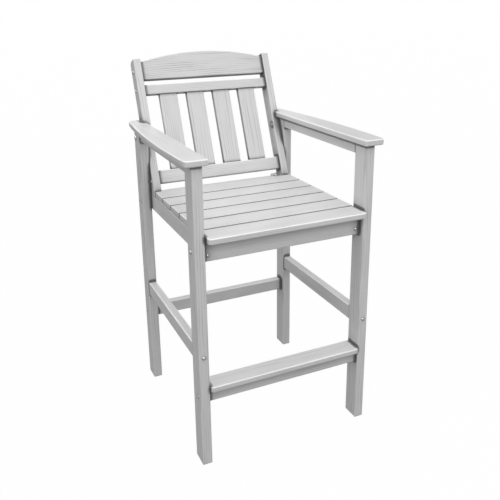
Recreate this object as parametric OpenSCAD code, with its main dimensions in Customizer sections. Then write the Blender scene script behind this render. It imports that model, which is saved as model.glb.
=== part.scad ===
// Bar-height patio armchair built from recycled plastic boards, in millimetres.
// The chair faces -Y, the sitter's left is +X and the floor is z = 0.

/* [Frame] */
// Width over the outer faces of the legs
frame_w = 588; // [540:1:640]
// Depth over the legs, from front face to rear face
frame_d = 597; // [570:1:630]
// Width of a leg, across the chair
leg_w = 32; // [28:1:38]
// Depth of a leg, front to back
leg_d = 60; // [54:1:66]
// Radius of the rounded foot of each leg
foot_r = 6; // [3:0.5:8]

/* [Boards] */
// Thickness of the slats, the arms and the footrest board
slat_t = 19; // [17:0.5:22]
// Thickness of the rails, aprons, stretchers and stiles
rail_t = 27; // [25:0.5:30]
// Radius of the eased edges along every board
edge_r = 4; // [2:0.5:5]
// Radius of the eased edges at a cut end
end_r = 2; // [1:0.5:3]
// Radius of the rounded end corners of aprons, rear stretcher and footrest
corner_r = 10; // [5:0.5:14]

/* [Seat] */
// Height of the seat's top above the floor
seat_h = 754; // [720:1:790]
// Reach of the front slat ahead of the legs
seat_overhang = 25; // [12:1:34]
// Gap between two seat slats
seat_gap = 5; // [3:0.5:8]
// Gap between the last slat and the feet of the back
seat_back_gap = 1; // [0.5:0.5:4]
// Gap between the slats' ends and the legs
seat_end_gap = 1.5; // [0.5:0.5:4]
// Radius of the front slat's front corners
nose_r = 12; // [8:1:18]
// Radius of the front slat's rear corners
slat_corner_r = 6; // [5:0.5:8]
// Height of the seat's side rails
seat_rail_h = 57; // [50:1:66]
// Height of the front and rear aprons
apron_h = 65; // [58:1:76]
// Depth of the front apron's face behind the legs' front faces
apron_inset = 19; // [12:1:26]

/* [Arms] */
// Height of the arms' top above the floor
arm_h = 978; // [940:1:1010]
// Width of an arm at its widest
arm_w = 76; // [66:0.5:90]
// Reach of an arm inside the legs' inner faces
arm_reach_in = 13; // [5:0.5:16]
// Reach of an arm ahead of the legs
arm_front = 16; // [12:1:30]
// Reach of an arm behind the legs
arm_tail = 58; // [36:1:70]
// Distance of an arm's widest place behind the legs' front faces
arm_widest = 205; // [100:5:260]
// Radius of the bowed outer edge
arm_bow_r = 3700; // [3000:50:6000]
// Radius of the front outer corner
arm_front_r = 15; // [10:1:20]
// Radius of the front inner corner
arm_inner_r = 8; // [6:0.5:12]
// Radius of the rear corners
arm_rear_r = 20; // [12:1:24]
// Height of the support board below each arm
arm_support_h = 35; // [34:1:50]

/* [Back] */
// Lean of the back from upright, in degrees
recline = 22; // [15:0.5:24]
// Distance of the back's front edge ahead of the legs' rear faces, at the seat's top
back_set = 100; // [96:1:112]
// Width of a stile, front edge to rear edge
stile_w = 50; // [46:1:62]
// Reach of the stiles above the crest rail's ends
stile_reach = 10; // [6:1:24]
// Radius of the stiles' rear top corner
stile_top_r = 22; // [12:1:28]
// Depth of the back rails' faces behind the stiles' front edges
back_rail_inset = 8; // [4:0.5:10]
// Gap from the seat's top to the lower back rail, along the stiles
lower_rail_gap = 25; // [16:0.5:30]
// Radius of the back rails' and the crest rail's end corners
back_corner_r = 5; // [2:0.5:8]
// Height of the lower back rail
lower_rail_h = 46.5; // [38:0.5:54]
// Length of the back slats between their rails
back_slat_l = 271; // [245:0.5:290]
// Width of a back slat
back_slat_w = 66; // [58:1:74]
// Gap from a stile to the outermost back slat
back_end_gap = 50.5; // [40:0.5:60]
// Depth of the mortises that hold the back slats
mortise_depth = 10; // [6:1:14]
// Clearance of a back slat in its mortise
slat_fit = 0.3; // [0.1:0.1:0.6]
// Height of the upper back rail
upper_rail_h = 35; // [29:0.5:42]
// Gap between the upper back rail and the crest rail
crest_gap = 18.5; // [10:0.5:26]
// Height of the crest rail at its ends
crest_end_h = 64.5; // [50:0.5:74]
// Rise of the crest rail's arch, from its ends to its middle
crest_rise = 32; // [14:0.5:38]

/* [Stretchers] */
// Height of the side stretchers' undersides above the floor
side_stretcher_z = 350; // [320:1:380]
// Height of a side stretcher, edge to edge
side_stretcher_h = 50; // [44:1:58]
// Height of the rear stretcher's underside above the floor
rear_stretcher_z = 252; // [220:1:280]
// Height of the rear stretcher, edge to edge
rear_stretcher_h = 46; // [42:1:56]
// Depth of the rear stretcher's face behind the rear legs' front faces
rear_stretcher_inset = 17; // [8:1:24]

/* [Footrest] */
// Height of the footrest's top above the floor
footrest_h = 275; // [250:1:310]
// Width of the footrest board, front to back
footrest_d = 66; // [60:1:80]
// Reach of the footrest board ahead of the legs
footrest_overhang = 9; // [4:1:20]
// Height of the rail below the footrest board
footrest_rail_h = 39; // [38:1:52]
// Depth of that rail's face behind the legs' front faces
footrest_rail_inset = 10; // [6:1:18]

/* [Fasteners] */
// Diameter of a screw's shank
screw_d = 5; // [4:0.5:6]
// Diameter of a screw's button head
head_d = 11; // [9:0.5:12]
// Height of a screw's button head
head_h = 3; // [2:0.25:3.5]
// Length of the short screws, below the head
short_screw_l = 50; // [48:1:51]
// Length of the medium screws, below the head
medium_screw_l = 65; // [60:1:70]
// Length of the long screws, below the head
long_screw_l = 90; // [84:1:96]
// Grip of a short screw in the thin board above its rail
short_bite = 13; // [10:0.5:14]
// Clearance round a screw's head in its well
head_fit = 1; // [0.5:0.25:1.5]
// Diameter of the bolts through the rear legs and stiles
bolt_d = 8; // [6:0.5:10]
// Diameter of a bolt's head
bolt_head_d = 15; // [13:0.5:18]
// Distance of the bolts below the arms' undersides
bolt_drop = 30; // [20:1:36]
// Clearance round a screw or bolt in its hole
hole_fit = 0.15; // [0.1:0.05:0.3]

/* [Hidden] */
$fn = 48;

board_colour = [0.86, 0.86, 0.86];
steel_colour = [0.62, 0.62, 0.64];

// Number of seat slats and of back slats, one node each
seat_slats = 6;
back_slats = 4;

// Faces of the legs, and the middles of the boards beside them
outer_x = frame_w / 2;
inner_x = outer_x - leg_w;
leg_x = outer_x - leg_w / 2;
side_rail_x = inner_x - rail_t / 2;
rail_inner_x = inner_x - rail_t;
rear_leg_y = frame_d - leg_d;
leg_h = arm_h - slat_t;
seat_board_z = seat_h - slat_t;

// Front to back places of the back, the boards under the seat and the stretchers
back_y = frame_d - back_set;
front_apron_y = apron_inset + rail_t / 2;
rear_pair_spread = rail_t / 2;
rear_leg_mid_y = rear_leg_y + leg_d / 2;
rear_apron_y = rear_leg_mid_y - rear_pair_spread;
rear_stretcher_y = rear_leg_y + rear_stretcher_inset + rail_t / 2;
footrest_rail_y = footrest_rail_inset + rail_t / 2;

// The seat slats share the depth from the front edge to the back's feet
seat_rear_y = back_y - slat_t * tan(recline) - seat_back_gap;
seat_pitch = (seat_rear_y + seat_overhang + seat_gap) / seat_slats;
seat_slat_w = seat_pitch - seat_gap;

// Heights along the back, measured up the stiles from the seat's top
lower_rail_top = lower_rail_gap + lower_rail_h;
upper_rail_low = lower_rail_top + back_slat_l;
upper_rail_top = upper_rail_low + upper_rail_h;
crest_low = upper_rail_top + crest_gap;
crest_end = crest_low + crest_end_h;
stile_top = crest_end + stile_reach;
crest_r = (rail_inner_x * rail_inner_x + crest_rise * crest_rise) / (2 * crest_rise);
back_rail_y = back_rail_inset + rail_t / 2;

// The origin lies midway between the foremost and the rearmost point
function back_depth(y, s) = back_y + y * cos(recline) + s * sin(recline);
front_limit = -max(arm_front, seat_overhang, footrest_overhang);
stile_limit = back_depth(stile_w - stile_top_r, stile_top - stile_top_r) + stile_top_r;
rear_limit = max(stile_limit, frame_d + arm_tail);
origin_y = (front_limit + rear_limit) / 2;

// Room left beyond a screw's point, and the overlap that makes a cut clean
point_room = 1.5;
cut = 1;

// Screws and bolts of the sitter's left side: each place is the middle of the head's seat
// and the turn that points the head outwards
outwards = [0, 90, 0];
forwards = [90, 0, 0];
backwards = [-90, 0, 0];
downwards = [180, 0, 0];
inwards = [0, -90, 0];
head_seat_z = seat_board_z - (short_screw_l - short_bite);
rail_mid_z = seat_board_z - seat_rail_h / 2;
side_stretcher_mid_z = side_stretcher_z + side_stretcher_h / 2;
front_slat_screw_inset = 78;
stile_foot_y = back_y + stile_w / 2 / cos(recline) - slat_t * tan(recline);
front_apron_places = [
    [[outer_x, front_apron_y, seat_board_z - apron_h / 2], outwards],
    [[side_rail_x, apron_inset, seat_board_z - seat_rail_h + head_d], forwards]
];
rear_apron_places = [[[outer_x, rear_apron_y, rail_mid_z], outwards]];
seat_rail_places = [[[outer_x, rear_leg_mid_y + rear_pair_spread, rail_mid_z], outwards]];
front_slat_places = [[[inner_x - front_slat_screw_inset, front_apron_y, head_seat_z], downwards]];
rail_slat_places = [
    for (i = [1:seat_slats - 1])
        [[side_rail_x, seat_pitch * i - seat_overhang + seat_slat_w / 2, head_seat_z], downwards]
];
stile_foot_places = [[[side_rail_x, stile_foot_y, head_seat_z], downwards]];
side_stretcher_places = [
    [[leg_x, 0, side_stretcher_mid_z], forwards],
    [[leg_x, frame_d, side_stretcher_mid_z], backwards]
];
rear_stretcher_places = [
    [[outer_x, rear_stretcher_y, rear_stretcher_z + rear_stretcher_h / 2], outwards]
];
footrest_seat_z = footrest_h - slat_t - (short_screw_l - short_bite);
footrest_rail_places = [
    [[outer_x, footrest_rail_y, footrest_h - slat_t - footrest_rail_h / 2], outwards]
];
footrest_screw_inset = 92;
footrest_screw_x = inner_x - footrest_screw_inset;
footrest_board_places = [
    for (x = [-footrest_screw_x, 0, footrest_screw_x])
        [[x, footrest_rail_y, footrest_seat_z], downwards]
];
arm_screw_inset = 60;
arm_places = [
    for (y = [leg_d + arm_screw_inset, rear_leg_y - arm_screw_inset])
        [[inner_x + rail_t / 2, y, leg_h - arm_support_h], downwards]
];
// The screws of the back are placed in the back's own leaning frame. The lower rail's pass ahead
// of the rear legs, which stand beside them
leg_room = 4;
lower_screw_s = lower_rail_gap + lower_rail_h / 4;
lower_screw_y = (rear_leg_y - leg_room - head_d / 2 - back_y - lower_screw_s * sin(recline)) / cos(recline);
back_rail_places = [
    [[inner_x, lower_screw_y, lower_screw_s], outwards],
    [[inner_x, stile_w / 2, upper_rail_low + upper_rail_h / 2], outwards],
    [[inner_x, stile_w / 2, crest_low + crest_end_h / 2], outwards]
];
// The bolt sits midway between the stile's front face and the leg's rear face
bolt_z = leg_h - bolt_drop;
stile_front_at_bolt = back_y + (bolt_z - seat_h) * tan(recline);
bolt_y = (stile_front_at_bolt + frame_d) / 2;
bolt_places = [[[outer_x, bolt_y, bolt_z], outwards]];
nut_places = [[[rail_inner_x, bolt_y, bolt_z], inwards]];
washer_t = 1.6;
washer_d = bolt_d * 2.1;
nut_h = bolt_d * 0.8;
nut_across_flats = bolt_d * 1.6;
bolt_l = leg_w + rail_t + washer_t + nut_h;

// Frames and mirrors

module in_frame() {
    translate([0, -origin_y, 0]) children();
}

// The left side is modelled, and the right side is its mirror image
module on_side(side) {
    mirror([side < 0 ? 1 : 0, 0, 0]) children();
}

module both_sides() {
    children();
    mirror([1, 0, 0]) children();
}

// The back's own frame: z runs up the stiles from the seat's top, y to the rear
module back_frame() {
    translate([0, back_y, seat_h]) rotate([-recline, 0, 0]) children();
}

module at(places) {
    for (place = places) {
        translate(place[0]) rotate(place[1]) children();
    }
}

// Boards

// A rectangle from the origin with its lower and upper corners rounded
module soft_rect(w, h, low, high) {
    translate([0, low]) square([w, h - low - high]);
    translate([low, 0]) square([w - 2 * low, h / 2]);
    translate([high, h / 2]) square([w - 2 * high, h / 2]);
    for (x = [low, w - low]) translate([x, low]) circle(low);
    for (x = [high, w - high]) translate([x, h - high]) circle(high);
}

// A board from the origin, rounded as seen along each axis: r holds the radii [along x, along y,
// along z], and low holds the same for the two corners nearest the floor or the front
module board(size, r, low) {
    intersection() {
        rotate([90, 0, 90]) linear_extrude(size.x) soft_rect(size.y, size.z, low.x, r.x);
        translate([0, size.y, 0]) rotate([90, 0, 0]) linear_extrude(size.y)
            soft_rect(size.x, size.z, low.y, r.y);
        linear_extrude(size.z) soft_rect(size.x, size.y, low.z, r.z);
    }
}

// A board across the chair, centred on x, with the end corners of its face rounded by face_r
module cross_board(w, d, h, face_r) {
    r = [edge_r, face_r, end_r];
    translate([-w / 2, 0, 0]) board([w, d, h], r, r);
}

// A board from front to rear
module side_board(w, d, h) {
    r = [end_r, edge_r, end_r];
    board([w, d, h], r, r);
}

function arc_points(centre, r, from, to, steps) = [
    for (k = [0:steps])
        let (a = from + (to - from) * k / steps) centre + r * [cos(a), sin(a)]
];

// A flat plate with an eased edge all round: outline(inset) gives its outline, anticlockwise,
// drawn in by inset
module eased_plate(outline, t, ease) {
    steps = 4;
    levels = [for (k = [0:steps]) ease * [1 - cos(90 * k / steps), 1 - sin(90 * k / steps)]];
    rings = concat(
        [for (v = levels) [for (p = outline(v[1])) [p.x, p.y, v[0]]]],
        [for (k = [steps:-1:0]) [for (p = outline(levels[k][1])) [p.x, p.y, t - levels[k][0]]]]
    );
    n = len(rings[0]);
    top = len(rings) - 1;
    faces = concat(
        [[for (i = [0:n - 1]) i]],
        [[for (i = [n - 1:-1:0]) top * n + i]],
        [
            for (k = [0:top - 1])
                for (i = [0:n - 1])
                    let (j = (i + 1) % n)
                        [k * n + i, (k + 1) * n + i, (k + 1) * n + j, k * n + j]
        ]
    );
    polyhedron([for (ring = rings) each ring], faces);
}

// Outline of a plate centred on x from y = 0 to d, with its front and rear corners rounded
function plate_outline(w, d, front_r, rear_r, inset) = concat(
    arc_points([front_r - w / 2, front_r], front_r - inset, 180, 270, 6),
    arc_points([w / 2 - front_r, front_r], front_r - inset, 270, 360, 6),
    arc_points([w / 2 - rear_r, d - rear_r], rear_r - inset, 0, 90, 6),
    arc_points([rear_r - w / 2, d - rear_r], rear_r - inset, 90, 180, 6)
);

// Outline of the left arm: a straight inner edge, and an outer edge bowed about a far centre
arm_x = inner_x - arm_reach_in;
bow_centre = [arm_x + arm_w - arm_bow_r, arm_widest];
function bow_corner(y, r) = [
    bow_centre.x + sqrt(pow(arm_bow_r - r, 2) - pow(y - bow_centre.y, 2)),
    y
];
function bow_angle(p) = atan2(p.y - bow_centre.y, p.x - bow_centre.x);
function arm_outline(inset) = let (
    front = bow_corner(arm_front_r - arm_front, arm_front_r),
    rear = bow_corner(frame_d + arm_tail - arm_rear_r, arm_rear_r),
    front_a = bow_angle(front),
    rear_a = bow_angle(rear)
) concat(
    arc_points([arm_x + arm_inner_r, arm_inner_r - arm_front], arm_inner_r - inset, 180, 270, 6),
    arc_points(front, arm_front_r - inset, -90, front_a, 6),
    arc_points(bow_centre, arm_bow_r - inset, front_a, rear_a, 16),
    arc_points(rear, arm_rear_r - inset, rear_a, 90, 6),
    arc_points([arm_x + arm_rear_r, rear.y], arm_rear_r - inset, 90, 180, 6)
);

// Fasteners and their holes, with the head above z = 0 and the shank below

module screw(l) {
    ball_r = (pow(head_d / 2, 2) + head_h * head_h) / (2 * head_h);
    socket_h = head_h * 0.55;
    socket_d = head_d * 0.36;
    difference() {
        intersection() {
            translate([0, 0, head_h - ball_r]) sphere(ball_r);
            cylinder(d = head_d + 2 * cut, h = head_h + cut);
        }
        translate([0, 0, head_h - socket_h]) cylinder(d = socket_d, h = head_h, $fn = 6);
    }
    point_d = 1;
    translate([0, 0, screw_d - l]) cylinder(d = screw_d, h = l - screw_d);
    translate([0, 0, -l]) cylinder(d1 = point_d, d2 = screw_d, h = screw_d);
}

module screw_hole(l) {
    translate([0, 0, -l - point_room]) cylinder(d = screw_d + 2 * hole_fit, h = l + point_room + cut);
}

// A screw hole with a wider well of depth deep for its head
module sunk_screw_hole(l, deep) {
    screw_hole(l);
    cylinder(d = head_d + 2 * head_fit, h = deep + cut);
}

module bolt_hole() {
    translate([0, 0, -leg_w - rail_t - cut]) cylinder(d = bolt_d + 2 * hole_fit, h = leg_w + rail_t + 2 * cut);
}

module bolt() {
    bolt_head_h = bolt_d * 0.5;
    socket_h = bolt_head_h * 0.6;
    socket_d = bolt_d * 0.7;
    ball_r = (pow(bolt_head_d / 2, 2) + bolt_head_h * bolt_head_h) / (2 * bolt_head_h);
    difference() {
        intersection() {
            translate([0, 0, bolt_head_h - ball_r]) sphere(ball_r);
            cylinder(d = bolt_head_d + 2 * cut, h = bolt_head_h + cut);
        }
        translate([0, 0, bolt_head_h - socket_h]) cylinder(d = socket_d, h = bolt_head_h, $fn = 6);
    }
    translate([0, 0, -bolt_l]) cylinder(d = bolt_d, h = bolt_l);
}

// Legs

module leg(y) {
    r = [end_r, end_r, edge_r];
    low = [foot_r, foot_r, edge_r];
    translate([inner_x, y, 0]) board([leg_w, leg_d, leg_h], r, low);
}

module front_leg() {
    difference() {
        leg(0);
        at(front_apron_places) screw_hole(medium_screw_l);
        at(side_stretcher_places) screw_hole(long_screw_l);
        at(footrest_rail_places) screw_hole(medium_screw_l);
    }
}

module rear_leg() {
    difference() {
        leg(rear_leg_y);
        at(rear_apron_places) screw_hole(long_screw_l);
        at(seat_rail_places) screw_hole(short_screw_l);
        at(side_stretcher_places) screw_hole(long_screw_l);
        at(rear_stretcher_places) screw_hole(medium_screw_l);
        at(bolt_places) bolt_hole();
    }
}

// Arms

// The arm rests on the legs and its support, and is notched round the stile
module arm() {
    notch_w = arm_reach_in * 2;
    difference() {
        translate([0, 0, leg_h]) eased_plate(function(inset) arm_outline(inset), slat_t, edge_r);
        back_frame() translate([inner_x + slat_fit - notch_w, -slat_fit, 0])
            cube([notch_w, frame_d, stile_top]);
        at(arm_places) screw_hole(short_screw_l);
    }
}

module arm_support() {
    difference() {
        translate([inner_x, leg_d, leg_h - arm_support_h])
            side_board(rail_t, rear_leg_y - leg_d, arm_support_h);
        at(arm_places) screw_hole(short_screw_l);
    }
}

// Seat

module seat_rail() {
    front = apron_inset + rail_t;
    low = seat_board_z - seat_rail_h;
    difference() {
        translate([rail_inner_x, front, low]) side_board(rail_t, frame_d - front, seat_rail_h);
        at(front_apron_places) screw_hole(medium_screw_l);
        at(rear_apron_places) screw_hole(long_screw_l);
        at(seat_rail_places) screw_hole(short_screw_l);
        at(rail_slat_places) sunk_screw_hole(short_screw_l, head_seat_z - low);
        at(stile_foot_places) sunk_screw_hole(medium_screw_l, head_seat_z - low);
    }
}

module front_apron() {
    low = seat_board_z - apron_h;
    difference() {
        translate([0, apron_inset, low]) cross_board(2 * inner_x, rail_t, apron_h, corner_r);
        both_sides() {
            at(front_apron_places) screw_hole(medium_screw_l);
            at(front_slat_places) sunk_screw_hole(short_screw_l, head_seat_z - low);
        }
    }
}

module rear_apron() {
    difference() {
        translate([0, rear_apron_y - rail_t / 2, seat_board_z - apron_h])
            cross_board(2 * rail_inner_x, rail_t, apron_h, corner_r);
        both_sides() at(rear_apron_places) screw_hole(long_screw_l);
    }
}

module front_seat_slat() {
    w = 2 * (inner_x - seat_end_gap);
    difference() {
        translate([0, -seat_overhang, seat_board_z])
            eased_plate(
                function(inset) plate_outline(w, seat_slat_w, nose_r, slat_corner_r, inset),
                slat_t,
                edge_r
            );
        both_sides() at(front_slat_places) screw_hole(short_screw_l);
    }
}

// Slat number i of the seat, counted from the front slat, which is 0
module seat_slat(i) {
    difference() {
        translate([0, seat_pitch * i - seat_overhang, seat_board_z])
            cross_board(2 * (inner_x - seat_end_gap), seat_slat_w, slat_t, end_r);
        both_sides() at([rail_slat_places[i - 1]]) screw_hole(short_screw_l);
    }
}

// Back

// A stile stands on the seat's side rail, so its foot is cut level
module back_stile() {
    r = [end_r, end_r, edge_r];
    foot = 2 * slat_t;
    l = stile_top + foot;
    difference() {
        back_frame() translate([rail_inner_x, 0, -foot]) intersection() {
            board([rail_t, stile_w, l], r, r);
            rotate([90, 0, 90]) linear_extrude(rail_t) {
                square([stile_w, l - stile_top_r]);
                square([stile_w - stile_top_r, l]);
                translate([stile_w - stile_top_r, l - stile_top_r]) circle(stile_top_r);
            }
        }
        translate([0, 0, seat_board_z - frame_d]) cube(frame_d);
        at(stile_foot_places) screw_hole(medium_screw_l);
        at(bolt_places) bolt_hole();
        back_frame() at(back_rail_places) screw_hole(medium_screw_l);
    }
}

// A board across the back between the stiles, from low to low + h up the back
module back_board(low, h) {
    translate([0, back_rail_inset, low]) cross_board(2 * rail_inner_x, rail_t, h, back_corner_r);
}

module back_screw_holes() {
    both_sides() at(back_rail_places) screw_hole(medium_screw_l);
}

// Places of the back slats across the chair, spread evenly between the two outermost
back_slat_pitch = (2 * (rail_inner_x - back_end_gap) - back_slat_w) / (back_slats - 1);
back_slat_xs = [for (i = [0:back_slats - 1]) (i - (back_slats - 1) / 2) * back_slat_pitch];

// The outline of a back slat seen from its end, grown by fit
module back_slat_section(x, fit) {
    w = back_slat_w + 2 * fit;
    d = slat_t + 2 * fit;
    translate([x - w / 2, back_rail_y - d / 2]) soft_rect(w, d, edge_r + fit, edge_r + fit);
}

// The mortises for the back slats, from low to low + h up the back
module mortises(low, h) {
    for (x = back_slat_xs) {
        translate([0, 0, low]) linear_extrude(h) back_slat_section(x, slat_fit);
    }
}

module lower_back_rail() {
    back_frame() difference() {
        back_board(lower_rail_gap, lower_rail_h);
        mortises(lower_rail_top - mortise_depth, mortise_depth + cut);
        back_screw_holes();
    }
}

module upper_back_rail() {
    back_frame() difference() {
        back_board(upper_rail_low, upper_rail_h);
        mortises(upper_rail_low - cut, mortise_depth + slat_fit + cut);
        back_screw_holes();
    }
}

// The crest rail is a straight board topped by an arch, both with eased edges. The arch is cut by
// a ring a hair thicker than the board, so that their faces don't coincide
face_clear = 0.04;
ring_t = rail_t + face_clear;
ring_w = 2 * (crest_end_h + crest_rise);
module crest() {
    middle_top = crest_end + crest_rise;
    back_frame() difference() {
        intersection() {
            back_board(crest_low, middle_top - crest_low + 2 * edge_r);
            translate([0, back_rail_y + ring_t / 2, middle_top - crest_r])
                rotate([90, 0, 0]) rotate_extrude($fn = 720) ring_section();
        }
        back_screw_holes();
    }
}

module ring_section() {
    translate([crest_r - ring_w, ring_t]) rotate(-90)
        soft_rect(ring_t, ring_w, edge_r, edge_r, $fn = 48);
}

module back_slat(i) {
    low = lower_rail_top - mortise_depth;
    back_frame() translate([0, 0, low]) linear_extrude(back_slat_l + 2 * mortise_depth)
        back_slat_section(back_slat_xs[i], 0);
}

// Stretchers

module side_stretcher() {
    difference() {
        translate([leg_x - rail_t / 2, leg_d, side_stretcher_z])
            side_board(rail_t, rear_leg_y - leg_d, side_stretcher_h);
        at(side_stretcher_places) screw_hole(long_screw_l);
    }
}

module rear_cross_stretcher() {
    difference() {
        translate([0, rear_stretcher_y - rail_t / 2, rear_stretcher_z])
            cross_board(2 * inner_x, rail_t, rear_stretcher_h, corner_r);
        both_sides() at(rear_stretcher_places) screw_hole(medium_screw_l);
    }
}

// Footrest

module footrest_plate() {
    difference() {
        translate([0, -footrest_overhang, footrest_h - slat_t])
            eased_plate(
                function(inset) plate_outline(2 * inner_x, footrest_d, corner_r, corner_r, inset),
                slat_t,
                edge_r
            );
        at(footrest_board_places) screw_hole(short_screw_l);
    }
}

module footrest_support() {
    low = footrest_h - slat_t - footrest_rail_h;
    difference() {
        translate([0, footrest_rail_inset, low])
            cross_board(2 * inner_x, rail_t, footrest_rail_h, end_r);
        both_sides() at(footrest_rail_places) screw_hole(medium_screw_l);
        at(footrest_board_places) sunk_screw_hole(short_screw_l, footrest_seat_z - low);
    }
}

// Named sub-parts

module front_leg_left() color(board_colour) in_frame() on_side(1) front_leg();
module front_leg_right() color(board_colour) in_frame() on_side(-1) front_leg();
module rear_leg_left() color(board_colour) in_frame() on_side(1) rear_leg();
module rear_leg_right() color(board_colour) in_frame() on_side(-1) rear_leg();
module arm_left() color(board_colour) in_frame() on_side(1) arm();
module arm_right() color(board_colour) in_frame() on_side(-1) arm();
module arm_support_left() color(board_colour) in_frame() on_side(1) arm_support();
module arm_support_right() color(board_colour) in_frame() on_side(-1) arm_support();
module seat_rail_left() color(board_colour) in_frame() on_side(1) seat_rail();
module seat_rail_right() color(board_colour) in_frame() on_side(-1) seat_rail();
module seat_apron_front() color(board_colour) in_frame() front_apron();
module seat_apron_rear() color(board_colour) in_frame() rear_apron();
module seat_slat_1() color(board_colour) in_frame() front_seat_slat();
module seat_slat_2() color(board_colour) in_frame() seat_slat(1);
module seat_slat_3() color(board_colour) in_frame() seat_slat(2);
module seat_slat_4() color(board_colour) in_frame() seat_slat(3);
module seat_slat_5() color(board_colour) in_frame() seat_slat(4);
module seat_slat_6() color(board_colour) in_frame() seat_slat(5);
module back_stile_left() color(board_colour) in_frame() on_side(1) back_stile();
module back_stile_right() color(board_colour) in_frame() on_side(-1) back_stile();
module crest_rail() color(board_colour) in_frame() crest();
module back_rail_upper() color(board_colour) in_frame() upper_back_rail();
module back_rail_lower() color(board_colour) in_frame() lower_back_rail();
module back_slat_1() color(board_colour) in_frame() back_slat(0);
module back_slat_2() color(board_colour) in_frame() back_slat(1);
module back_slat_3() color(board_colour) in_frame() back_slat(2);
module back_slat_4() color(board_colour) in_frame() back_slat(3);
module side_stretcher_left() color(board_colour) in_frame() on_side(1) side_stretcher();
module side_stretcher_right() color(board_colour) in_frame() on_side(-1) side_stretcher();
module rear_stretcher() color(board_colour) in_frame() rear_cross_stretcher();
module footrest_board() color(board_colour) in_frame() footrest_plate();
module footrest_rail() color(board_colour) in_frame() footrest_support();

module front_apron_screws() {
    color(steel_colour) in_frame() both_sides() at(front_apron_places) screw(medium_screw_l);
}

module rear_apron_screws() {
    color(steel_colour) in_frame() both_sides() at(rear_apron_places) screw(long_screw_l);
}

module seat_rail_screws() {
    color(steel_colour) in_frame() both_sides() at(seat_rail_places) screw(short_screw_l);
}

module seat_slat_screws() {
    places = concat(front_slat_places, rail_slat_places);
    color(steel_colour) in_frame() both_sides() at(places) screw(short_screw_l);
}

module stile_foot_screws() {
    color(steel_colour) in_frame() both_sides() at(stile_foot_places) screw(medium_screw_l);
}

module back_rail_screws() {
    color(steel_colour) in_frame() back_frame() both_sides() at(back_rail_places) screw(medium_screw_l);
}

module arm_screws() {
    color(steel_colour) in_frame() both_sides() at(arm_places) screw(short_screw_l);
}

module side_stretcher_screws() {
    color(steel_colour) in_frame() both_sides() at(side_stretcher_places) screw(long_screw_l);
}

module rear_stretcher_screws() {
    color(steel_colour) in_frame() both_sides() at(rear_stretcher_places) screw(medium_screw_l);
}

module footrest_rail_screws() {
    color(steel_colour) in_frame() both_sides() at(footrest_rail_places) screw(medium_screw_l);
}

module footrest_board_screws() {
    color(steel_colour) in_frame() at(footrest_board_places) screw(short_screw_l);
}

module back_bolts() {
    color(steel_colour) in_frame() both_sides() at(bolt_places) bolt();
}

module back_bolt_washers() {
    color(steel_colour) in_frame() both_sides() at(nut_places) difference() {
        cylinder(d = washer_d, h = washer_t);
        translate([0, 0, -cut]) cylinder(d = bolt_d + 2 * hole_fit, h = washer_t + 2 * cut);
    }
}

module back_bolt_nuts() {
    color(steel_colour) in_frame() both_sides() at(nut_places) translate([0, 0, washer_t]) difference() {
        cylinder(d = nut_across_flats / cos(30), h = nut_h, $fn = 6);
        translate([0, 0, -cut]) cylinder(d = bolt_d, h = nut_h + 2 * cut);
    }
}

front_leg_left();
front_leg_right();
rear_leg_left();
rear_leg_right();
arm_left();
arm_right();
arm_support_left();
arm_support_right();
seat_rail_left();
seat_rail_right();
seat_apron_front();
seat_apron_rear();
seat_slat_1();
seat_slat_2();
seat_slat_3();
seat_slat_4();
seat_slat_5();
seat_slat_6();
back_stile_left();
back_stile_right();
crest_rail();
back_rail_upper();
back_rail_lower();
back_slat_1();
back_slat_2();
back_slat_3();
back_slat_4();
side_stretcher_left();
side_stretcher_right();
rear_stretcher();
footrest_board();
footrest_rail();
front_apron_screws();
rear_apron_screws();
seat_rail_screws();
seat_slat_screws();
stile_foot_screws();
back_rail_screws();
arm_screws();
side_stretcher_screws();
rear_stretcher_screws();
footrest_rail_screws();
footrest_board_screws();
back_bolts();
back_bolt_washers();
back_bolt_nuts();
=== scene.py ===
# %% [markdown]
# # A bar-height patio armchair
#
# The real chair is cut from recycled plastic boards. They are off-white right through, their faces are
# pressed with a wood grain, and button-head screws hold them together. The solids come ready made, so
# this lesson is about what turns them into that chair: the camera, the finish of the boards, the
# steel of the screws and the light.

# %% Load the chair's solids
import math

import bpy
from mathutils import Matrix, Vector

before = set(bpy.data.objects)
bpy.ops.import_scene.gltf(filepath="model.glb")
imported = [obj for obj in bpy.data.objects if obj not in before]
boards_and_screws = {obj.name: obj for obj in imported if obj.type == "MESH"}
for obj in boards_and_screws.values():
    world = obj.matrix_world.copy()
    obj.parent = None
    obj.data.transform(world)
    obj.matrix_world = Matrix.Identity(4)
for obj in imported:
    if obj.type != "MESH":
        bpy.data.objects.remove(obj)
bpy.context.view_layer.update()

# %% [markdown]
# The camera comes first, because everything else is judged through it. It stands in front of the chair,
# a little to the left and higher than the back, and looks down on it. The photograph's upright lines
# stay nearly upright, so the lens is shifted a little instead of being tipped further.

# %% Set up the camera
IMAGE_SIDE = 500
LENS_PIXELS = 629.7
CENTRE_ROW = 200
SENSOR_MM = 36.0
CAMERA_PLACE = Vector((-0.8189, -1.8859, 1.3716))
TURN = math.radians(24.274)
TIP = math.radians(17.377)
ROLL = math.radians(0.714)

ahead = Vector((math.sin(TURN) * math.cos(TIP), math.cos(TURN) * math.cos(TIP), -math.sin(TIP)))
level_right = Vector((math.cos(TURN), -math.sin(TURN), 0.0))
level_down = ahead.cross(level_right)
right = level_right * math.cos(ROLL) + level_down * math.sin(ROLL)
down = level_down * math.cos(ROLL) - level_right * math.sin(ROLL)
facing = Matrix((right, -down, -ahead)).transposed().to_4x4()

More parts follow.
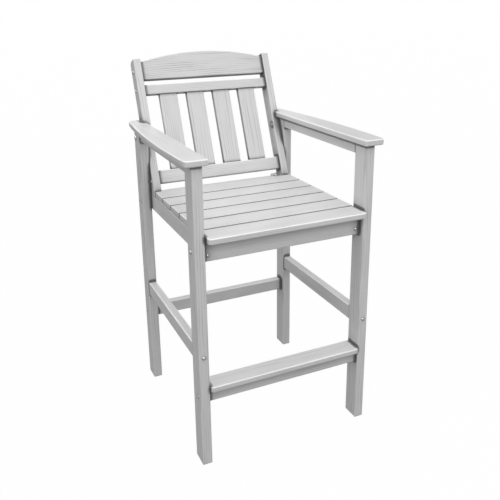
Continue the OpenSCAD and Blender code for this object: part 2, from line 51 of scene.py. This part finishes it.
lens = bpy.data.cameras.new("photo_camera")
lens.sensor_width = SENSOR_MM
lens.lens = LENS_PIXELS / IMAGE_SIDE * SENSOR_MM
lens.shift_y = -(IMAGE_SIDE / 2 - CENTRE_ROW) / IMAGE_SIDE
camera = bpy.data.objects.new("photo_camera", lens)
camera.matrix_world = Matrix.Translation(CAMERA_PLACE) @ facing
bpy.context.scene.collection.objects.link(camera)
bpy.context.scene.camera = camera
print("camera at", tuple(round(x, 3) for x in CAMERA_PLACE), "lens", round(lens.lens, 2), "mm")

# %% [markdown]
# Materials are small graphs of nodes. The first helper adds a node, fills its sockets, with a value or
# with a link, and hands back its outputs. The next ones stand on it, one for each kind of node that
# the graphs use most, so that a graph reads almost like a sum. The last one starts a shared group
# with named sockets. A span is a pair of values that is remapped to 0 and 1.

# %% Helpers for node graphs
def place(tree, kind, sockets, **options):
    node = tree.nodes.new("ShaderNode" + kind)
    for option, value in options.items():
        setattr(node, option, value)
    for key, value in sockets.items():
        if isinstance(value, bpy.types.NodeSocket):
            tree.links.new(value, node.inputs[key])
        else:
            node.inputs[key].default_value = value
    return node.outputs


def maths(tree, operation, first, second=0.0):
    return place(tree, "Math", {0: first, 1: second}, operation=operation)["Value"]


def vector_maths(tree, operation, first, second):
    outputs = place(tree, "VectorMath", {0: first, 1: second}, operation=operation)
    return outputs["Value" if operation == "DOT_PRODUCT" else "Vector"]


def scaled(tree, vector, factor):
    return place(tree, "VectorMath", {0: vector, "Scale": factor}, operation="SCALE")["Vector"]


def remapped(tree, value, span, low=0.0, high=1.0, **options):
    sockets = {"Value": value, "From Min": span[0], "From Max": span[1], "To Min": low, "To Max": high}
    return place(tree, "MapRange", sockets, **options)["Result"]


def noise(tree, where, fineness, detail, roughness=0.5):
    sockets = {"Vector": where, "Scale": fineness, "Detail": detail, "Roughness": roughness}
    return place(tree, "TexNoise", sockets)["Fac"]


def part_up(tree, vector):
    return place(tree, "SeparateXYZ", {0: vector})["Z"]


def new_group(name, inputs, masks):
    group = bpy.data.node_groups.new(name, "ShaderNodeTree")
    for label, kind, value in inputs:
        socket = group.interface.new_socket(label, in_out="INPUT", socket_type="NodeSocket" + kind)
        if value is not None:
            socket.default_value = value
    for label in masks:
        group.interface.new_socket(label, in_out="OUTPUT", socket_type="NodeSocketFloat")
    return group, group.nodes.new("NodeGroupInput").outputs, group.nodes.new("NodeGroupOutput").inputs


print("helpers ready")

# %% [markdown]
# The pressed grain runs along each board, as the year rings of a sawn plank do. Evenly spaced layers
# cut the board at a slant, so that they show as lines on every face. A smooth noise, stretched along
# the board, bends the lines into slow waves and arches. A second noise makes each line deep in one
# place and nearly gone in the next. The board's number moves the pattern, so that no two boards match.

# %% Group for the pressed wood grain
BOARD_STEP = (1.7, 2.3, 3.1)
LAYER_SLANT = (0.58, 0.46, 0.67)
SWELL_ROUGHNESS = 0.4
WAVE_SPAN = (0.1, 1.0)
DEPTH_FINENESS = 55.0
DEPTH_SPAN = (0.38, 0.66)
LEAST_DEPTH = 0.1
FIBRE_SQUEEZE = 0.03
FIBRE_FINENESS = 700.0
TONE_FINENESS = 150.0

grain, given, made = new_group(
    "Pressed grain",
    [
        ("Position", "Vector", None),
        ("Along", "Vector", (1.0, 0.0, 0.0)),
        ("Board Number", "Float", 0.0),
        ("Line Gap", "Float", 0.006),
        ("Wander", "Float", 4.0),
        ("Wander Size", "Float", 0.05),
        ("Stretch", "Float", 9.0),
    ],
    ["Grooves", "Fibres", "Tone"],
)
moved = vector_maths(grain, "ADD", given["Position"], scaled(grain, BOARD_STEP, given["Board Number"]))
length = vector_maths(grain, "DOT_PRODUCT", moved, given["Along"])
along = scaled(grain, given["Along"], length)
across = vector_maths(grain, "SUBTRACT", moved, along)
squeezed = scaled(grain, along, maths(grain, "DIVIDE", 1.0, given["Stretch"]))
stretched = vector_maths(grain, "ADD", across, squeezed)

swell_fineness = maths(grain, "DIVIDE", 1.0, given["Wander Size"])
swells = noise(grain, stretched, swell_fineness, detail=1.0, roughness=SWELL_ROUGHNESS)
bend = maths(grain, "MULTIPLY", swells, given["Wander"])
slant = vector_maths(grain, "DOT_PRODUCT", across, LAYER_SLANT)
layers = maths(grain, "DIVIDE", slant, given["Line Gap"])
phase = maths(grain, "MULTIPLY", maths(grain, "ADD", layers, bend), 2 * math.pi)
line = remapped(grain, maths(grain, "SINE", phase), WAVE_SPAN, interpolation_type="SMOOTHSTEP")
depths = noise(grain, stretched, DEPTH_FINENESS, detail=1.0)
depth = remapped(grain, depths, DEPTH_SPAN, low=LEAST_DEPTH)

fibre_place = vector_maths(grain, "ADD", across, scaled(grain, along, FIBRE_SQUEEZE))
grain.links.new(maths(grain, "MULTIPLY", line, depth), made["Grooves"])
grain.links.new(noise(grain, fibre_place, FIBRE_FINENESS, detail=2.0), made["Fibres"])
grain.links.new(noise(grain, fibre_place, TONE_FINENESS, detail=2.0), made["Tone"])
print("grain group has", len(grain.nodes), "nodes")

# %% [markdown]
# The router rounds the edges of a plastic board, and a painted highlight makes them paler than its
# pressed faces. The faces of a board look along three directions that are square to each other, and a
# rounded edge looks between them. The Bevel node widens that turn a little on both sides, so its normal
# marks the edge. The boards of the back lean, so their normals are first turned upright. The painted
# highlight is kept to the edges that face up, where light from above would catch them, and left off
# the upright ones and those that face the ground, so the height weighs it.

# %% Group for the painted edge highlight
BEVEL_SAMPLES = 4
EDGE_SPAN = (0.985, 0.88)
FACING_UP_SPAN = (0.2, 0.5)

edges, given, made = new_group(
    "Pale edges",
    [("Radius", "Float", 0.004), ("Lean", "Float", 0.0)],
    ["Edge"],
)
rounded = place(edges, "Bevel", {"Radius": given["Radius"]}, samples=BEVEL_SAMPLES)["Normal"]
sockets = {"Vector": rounded, "Angle": given["Lean"]}
turned = place(edges, "VectorRotate", sockets, rotation_type="X_AXIS")["Vector"]
unsigned = place(edges, "VectorMath", {0: turned}, operation="ABSOLUTE")["Vector"]
parts = place(edges, "SeparateXYZ", {0: unsigned})
largest = maths(edges, "MAXIMUM", maths(edges, "MAXIMUM", parts["X"], parts["Y"]), parts["Z"])
# Painted highlight: the rounded edges are lightened in the colour, most where they face up.
near = remapped(edges, largest, EDGE_SPAN)
upward = remapped(edges, part_up(edges, rounded), FACING_UP_SPAN)
edges.links.new(maths(edges, "MULTIPLY", near, upward), made["Edge"])
print("edge group has", len(edges.nodes), "nodes")

# %% [markdown]
# Outdoors a thin film of dust settles on what faces up. It is patchy, so a noise breaks it up.

# %% Group for the dust
LEVEL_SPAN = (0.6, 1.0)
FILM_SPAN = (0.45, 0.75)

dust, given, made = new_group(
    "Settled dust",
    [("Position", "Vector", None), ("Patch Size", "Float", 0.05)],
    ["Dust"],
)
facing_up = part_up(dust, place(dust, "NewGeometry", {})["Normal"])
level = remapped(dust, facing_up, LEVEL_SPAN)
patch_fineness = maths(dust, "DIVIDE", 1.0, given["Patch Size"])
film = remapped(dust, noise(dust, given["Position"], patch_fineness, detail=5.0), FILM_SPAN)
dust.links.new(maths(dust, "MULTIPLY", level, film), made["Dust"])
print("dust group has", len(dust.nodes), "nodes")

# %% [markdown]
# Painted shade: where two boards meet, in the gaps between slats and under overhangs, the colour is
# painted darker, and the sides of boards that stand close together are painted darker too. The Ambient
# Occlusion node tells how much of its surroundings a point can see within a short reach, and Full In
# says how little that is where the painted shade is darkest. Less of it is painted on what faces up,
# and none on the feet: what hides them is the floor and no other board.

# %% Group for the painted shade in joints and hollows
SKY_SAMPLES = 8
OPEN_SKY = 0.96
UPWARD_FADE_SPAN = (0.9, 0.5)
ABOVE_FLOOR_SPAN = (0.04, 0.12)

painted_shade, given, made = new_group(
    "Dirt in joints",
    [
        ("Position", "Vector", None),
        ("Reach", "Float", 0.01),
        ("Full In", "Float", 0.65),
        ("Left On Top", "Float", 0.0),
    ],
    ["Dirt"],
)
# Painted shade: the less a point sees around it, the darker its colour is painted.
sky = place(painted_shade, "AmbientOcclusion", {"Distance": given["Reach"]}, samples=SKY_SAMPLES)["AO"]
hidden = remapped(painted_shade, sky, (OPEN_SKY, given["Full In"]))
facing_up = part_up(painted_shade, place(painted_shade, "NewGeometry", {})["Normal"])
downward_weight = remapped(painted_shade, facing_up, UPWARD_FADE_SPAN, low=given["Left On Top"])
off_floor = remapped(painted_shade, part_up(painted_shade, given["Position"]), ABOVE_FLOOR_SPAN)
amount = maths(painted_shade, "MULTIPLY", maths(painted_shade, "MULTIPLY", hidden, downward_weight), off_floor)
painted_shade.links.new(amount, made["Dirt"])
print("dirt group has", len(painted_shade.nodes), "nodes")

# %% [markdown]
# The plastic has one colour, and the effects only lighten or darken it. They are laid over each other
# in this order: first the grain of the press, then a painted highlight on the rounded edges, then the
# dust, and last painted shade in the joints, in the gaps and between boards. The painted shade also
# dulls the painted highlight. A shade is the share of the darker tone, from 0 to 1, and lengths are
# in metres.

# %% Colour of the plastic
def grey(tone):
    return (tone, tone, tone, 1.0)


FACE_TONE = grey(0.74)
GROOVE_TONE = grey(0.42)
# Tone of the painted highlight on the rounded edges.
HIGHLIGHT_TONE = grey(0.98)
DUST_TONE = (0.66, 0.655, 0.65, 1.0)
# Tone of the painted shade in joints, gaps and hollows.
SHADE_TONE = grey(0.12)
PATCHY_SHADE = 0.12
DUST_SHADE = 0.15
# Share and reach of the painted shade in joints, gaps and under overhangs.
JOINT_SHADE = 0.85
JOINT_SHADE_LOOK = {"Reach": 0.012, "Full In": 0.9, "Left On Top": 1.0}
EDGE_WIDTH = 0.004


def use_group(tree, group, sockets):
    return place(tree, "Group", sockets, node_tree=group)


def share(tree, value, part):
    return maths(tree, "MULTIPLY", value, part)


def mixed(tree, amount, first, second):
    return place(tree, "Mix", {"Factor": amount, 6: first, 7: second}, data_type="RGBA")[2]


def plastic_colour(tree, where, lines, groove_shade, hollow_shade, hollow_shade_look, lean):
    edge = use_group(tree, edges, {"Radius": EDGE_WIDTH, "Lean": lean})["Edge"]
    film = use_group(tree, dust, {"Position": where})["Dust"]
    joint = use_group(tree, painted_shade, {"Position": where, **JOINT_SHADE_LOOK})["Dirt"]
    hollow = use_group(tree, painted_shade, {"Position": where, **hollow_shade_look})["Dirt"]
    # The painted shade dulls the painted highlight.
    unshaded_highlight = share(tree, edge, maths(tree, "SUBTRACT", 1.0, joint))
    colour = mixed(tree, share(tree, lines["Grooves"], groove_shade), FACE_TONE, GROOVE_TONE)
    colour = mixed(tree, share(tree, lines["Tone"], PATCHY_SHADE), colour, GROOVE_TONE)
    # Painted highlight on the edges.
    colour = mixed(tree, unshaded_highlight, colour, HIGHLIGHT_TONE)
    colour = mixed(tree, share(tree, film, DUST_SHADE), colour, DUST_TONE)
    # Painted shade between boards, then in the joints and gaps.
    colour = mixed(tree, share(tree, hollow, hollow_shade), colour, SHADE_TONE)
    return mixed(tree, share(tree, joint, JOINT_SHADE), colour, SHADE_TONE)


print("plastic tones: face", FACE_TONE[0], "groove", GROOVE_TONE[0], "edge", HIGHLIGHT_TONE[0])

# %% [markdown]
# A board's finish adds gloss and relief to its colour. The grooves sink and the fine fibres stand a
# little proud, all as bump, because they are shallower than a millimetre. The fibres also vary the
# roughness, so that the gloss breaks up. The object index, which numbers the pieces, moves the grain.

# %% Finish of one board
WHOLE_SPAN = (0.0, 1.0)
PLASTIC_ROUGHNESS = (0.24, 0.44)
PLASTIC_IOR = 1.49
FIBRE_HEIGHT = 0.35


def new_material(name):
    material = bpy.data.materials.new(name)
    material.use_nodes = True
    return material, material.node_tree, material.node_tree.nodes["Principled BSDF"]


def plastic_board(name, along, line_look, groove_depth, **colour_look):
    material, tree, shader = new_material(name)
    where = place(tree, "TexCoord", {})["Object"]
    number = place(tree, "ObjectInfo", {})["Object Index"]
    lines = use_group(
        tree, grain, {"Position": where, "Along": along, "Board Number": number, **line_look}
    )
    tree.links.new(plastic_colour(tree, where, lines, **colour_look), shader.inputs["Base Color"])
    rough = remapped(tree, lines["Fibres"], WHOLE_SPAN, *PLASTIC_ROUGHNESS)
    tree.links.new(rough, shader.inputs["Roughness"])
    shader.inputs["IOR"].default_value = PLASTIC_IOR

    sunk = share(tree, lines["Grooves"], -1.0)
    relief = maths(tree, "ADD", sunk, share(tree, lines["Fibres"], FIBRE_HEIGHT))
    bump = place(tree, "Bump", {"Height": relief, "Strength": 1.0, "Distance": groove_depth})
    tree.links.new(bump["Normal"], shader.inputs["Normal"])
    return material


print("gloss between", PLASTIC_ROUGHNESS)

# %% [markdown]
# The grain has to follow the board, so there is one material for each direction. The back leans, so
# its slats and its rails have materials of their own, and the crest rail's broad face shows its grain
# most. Where boards stand close together, such as the apron under the seat, their sides get more painted
# shade.

# %% Finishes for all the boards
RECLINE = math.radians(22)
UP = (0.0, 0.0, 1.0)
ACROSS = (1.0, 0.0, 0.0)
TO_THE_REAR = (0.0, 1.0, 0.0)
UP_THE_BACK = (0.0, math.sin(RECLINE), math.cos(RECLINE))
NARROW_LINES = {"Line Gap": 0.004, "Wander": 4.0}
WIDE_LINES = {"Line Gap": 0.0055, "Wander": 5.0}
BOLD_LINES = {"Line Gap": 0.006, "Wander": 4.0}

# hollow_shade is how much painted shade a board gets where other boards hide it.
PLAIN = {
    "line_look": NARROW_LINES,
    "groove_depth": 0.0003,
    "hollow_shade_look": {"Reach": 0.05, "Full In": 0.65},
    "lean": 0.0,
}
LEGS = {**PLAIN, "line_look": WIDE_LINES, "hollow_shade": 0.25}
SIDES = {**PLAIN, "hollow_shade": 0.4}
SEAT = {**PLAIN, "hollow_shade": 0.95, "hollow_shade_look": {"Reach": 0.04, "Full In": 0.5}}
BACK = {**PLAIN, "hollow_shade": 0.75, "lean": RECLINE}
CREST = {**BACK, "line_look": BOLD_LINES, "groove_depth": 0.0006}
BOARD_LOOKS = {
    "upright_board": {**LEGS, "along": UP, "groove_shade": 0.45},
    "side_board": {**SIDES, "along": TO_THE_REAR, "groove_shade": 0.5},
    "cross_board": {**SEAT, "along": ACROSS, "groove_shade": 0.5},
    "back_board": {**BACK, "along": UP_THE_BACK, "line_look": WIDE_LINES, "groove_shade": 0.45},
    "back_rail_board": {**BACK, "along": ACROSS, "groove_shade": 0.6},
    "crest_board": {**CREST, "along": ACROSS, "groove_shade": 0.8},
}
finishes = {name: plastic_board(name, **look) for name, look in BOARD_LOOKS.items()}
print("finishes:", ", ".join(finishes))

# %% [markdown]
# The screws, bolts, washers and nuts are plain stainless steel. Their heads are turned, so the
# roughness and a faint relief run in rings too fine to see singly: a noise is enough.

# %% Finish of the screws
STEEL_FINENESS = 2500.0
STEEL_ROUGHNESS = (0.18, 0.34)
STEEL_RELIEF = {"Strength": 0.3, "Distance": 0.00005}
DULL_STEEL = (0.66, 0.66, 0.67, 1.0)
BRIGHT_STEEL = (0.84, 0.84, 0.85, 1.0)

steel, tree, shader = new_material("stainless_steel")
shader.inputs["Metallic"].default_value = 1.0
turning = noise(tree, place(tree, "TexCoord", {})["Object"], STEEL_FINENESS, detail=3.0)
rough = remapped(tree, turning, WHOLE_SPAN, *STEEL_ROUGHNESS)
tree.links.new(rough, shader.inputs["Roughness"])
tree.links.new(mixed(tree, turning, DULL_STEEL, BRIGHT_STEEL), shader.inputs["Base Color"])
bump = place(tree, "Bump", {"Height": turning, **STEEL_RELIEF})
tree.links.new(bump["Normal"], shader.inputs["Normal"])
print("steel ready")

# %% [markdown]
# Each piece gets the material of its direction. The piece's own number goes into its object index,
# which the grain reads.

# %% Dress the pieces
RUNS = {
    "upright_board": ("front_leg", "rear_leg"),
    "side_board": ("arm_left", "arm_right", "arm_support", "seat_rail", "side_stretcher"),
    "cross_board": ("seat_apron", "seat_slat", "rear_stretcher", "footrest"),
    "back_board": ("back_stile", "back_slat"),
    "back_rail_board": ("back_rail",),
    "crest_board": ("crest_rail",),
}
FASTENERS = ("screws", "bolts", "washers", "nuts")
for number, name in enumerate(sorted(boards_and_screws)):
    piece = boards_and_screws[name]
    finish = steel
    if not name.endswith(FASTENERS):
        run = next(run for run, starts in RUNS.items() if name.startswith(starts))
        finish = finishes[run]
    piece.pass_index = number + 1
    piece.data.materials.clear()
    piece.data.materials.append(finish)
print("dressed", len(boards_and_screws), "pieces")

# %% [markdown]
# A product photograph burns its floor out to white, yet the undersides of the boards stay dark. So the
# large plain disc glows for the camera, and for all other rays it is only a pale floor. The part of it
# that doesn't glow keeps the softest of shadows under the chair.

# %% Lay the floor
FLOOR_RADIUS = 60.0
FLOOR_CORNERS = 96
FLOOR_TONE = grey(0.2)
FLOOR_ROUGHNESS = 0.9
GLOW = {"Color": grey(1.0), "Strength": 1.08}
GLOW_SHARE = 0.9

bpy.ops.mesh.primitive_circle_add(vertices=FLOOR_CORNERS, radius=FLOOR_RADIUS, fill_type="NGON")
floor = bpy.context.object
floor.name = "pale_floor"
pale, tree, shader = new_material("pale_floor")
shader.inputs["Base Color"].default_value = FLOOR_TONE
shader.inputs["Roughness"].default_value = FLOOR_ROUGHNESS
glowing = share(tree, place(tree, "LightPath", {})["Is Camera Ray"], GLOW_SHARE)
glow = place(tree, "Emission", GLOW)[0]
blend = place(tree, "MixShader", {0: glowing, 1: shader.outputs[0], 2: glow})[0]
tree.links.new(blend, tree.nodes["Material Output"].inputs["Surface"])
floor.data.materials.append(pale)
print("floor laid")

# %% [markdown]
# The light is plain and soft. A broad fill from overhead casts no shadow, so that the footrest and the
# stretchers stay as bright as the seat. Broad fills from the front, the rear and both sides lift the
# upright faces, and two narrow lights draw the bright lines along the eased edges. These are sun
# lamps, which light the whole chair alike. A light's direction points from the chair towards it.

# %% Light the chair evenly
SOFT_LIGHTS = {
    "overhead_fill": {"strength": 1.1, "spread": 70, "towards": (0.05, 0.05, 1.0), "shadow": False},
    "front_fill": {"strength": 0.8, "spread": 50, "towards": (-0.02, -0.98, 0.18), "shadow": True},
    "side_fill": {"strength": 0.72, "spread": 50, "towards": (-0.95, -0.15, 0.28), "shadow": True},
    "far_side_fill": {"strength": 0.5, "spread": 50, "towards": (0.9, 0.35, 0.25), "shadow": True},
    "rear_fill": {"strength": 0.5, "spread": 50, "towards": (0.1, 0.98, 0.06), "shadow": True},
    "front_edge_light": {"strength": 0.5, "spread": 10, "towards": (0.45, -0.3, 0.84), "shadow": False},
    "rear_edge_light": {"strength": 0.4, "spread": 10, "towards": (-0.3, 0.87, 0.39), "shadow": False},
}


def add_light(name, kind, strength, towards):
    lamp = bpy.data.lights.new(name, kind)
    lamp.energy = strength
    light = bpy.data.objects.new(name, lamp)
    light.rotation_euler = Vector(towards).to_track_quat("Z", "Y").to_euler()
    bpy.context.scene.collection.objects.link(light)
    return lamp, light


for name, look in SOFT_LIGHTS.items():
    lamp, light = add_light(name, "SUN", look["strength"], look["towards"])
    lamp.angle = math.radians(look["spread"])
    lamp.use_shadow = look["shadow"]
print("soft lights:", ", ".join(SOFT_LIGHTS))

# %% [markdown]
# A round window high in front is an area lamp. It stands close, so it fades towards the rear, and the
# seat keeps it off the apron and the rear legs, which gives the chair its depth.

# %% Open a window in front
WINDOW_PLACE = Vector((-0.2, -1.6, 2.2))
WINDOW_SIZE = 1.2
WINDOW_WATTS = 9.0
SEAT_MIDDLE = Vector((0.0, 0.0, 0.6))

lamp, window = add_light("front_window", "AREA", WINDOW_WATTS, WINDOW_PLACE - SEAT_MIDDLE)
lamp.shape = "DISK"
lamp.size = WINDOW_SIZE
window.location = WINDOW_PLACE
print("window", WINDOW_SIZE, "m across")

# %% [markdown]
# The sky is dim and even, but the camera sees it white, as the photograph's background is.

# %% Spread the sky
SKY_STRENGTH = 0.24

world = bpy.data.worlds.new("studio")
world.use_nodes = True
sky = world.node_tree
dim = sky.nodes["Background"]
dim.inputs["Color"].default_value = grey(1.0)
dim.inputs["Strength"].default_value = SKY_STRENGTH
white = place(sky, "Background", {"Color": grey(1.0), "Strength": 1.0})[0]
seen = place(sky, "LightPath", {})["Is Camera Ray"]
both = place(sky, "MixShader", {0: seen, 1: dim.outputs[0], 2: white})[0]
sky.links.new(both, sky.nodes["World Output"].inputs["Surface"])
bpy.context.scene.world = world
bpy.context.scene.view_settings.view_transform = "Standard"
print("sky strength", SKY_STRENGTH)
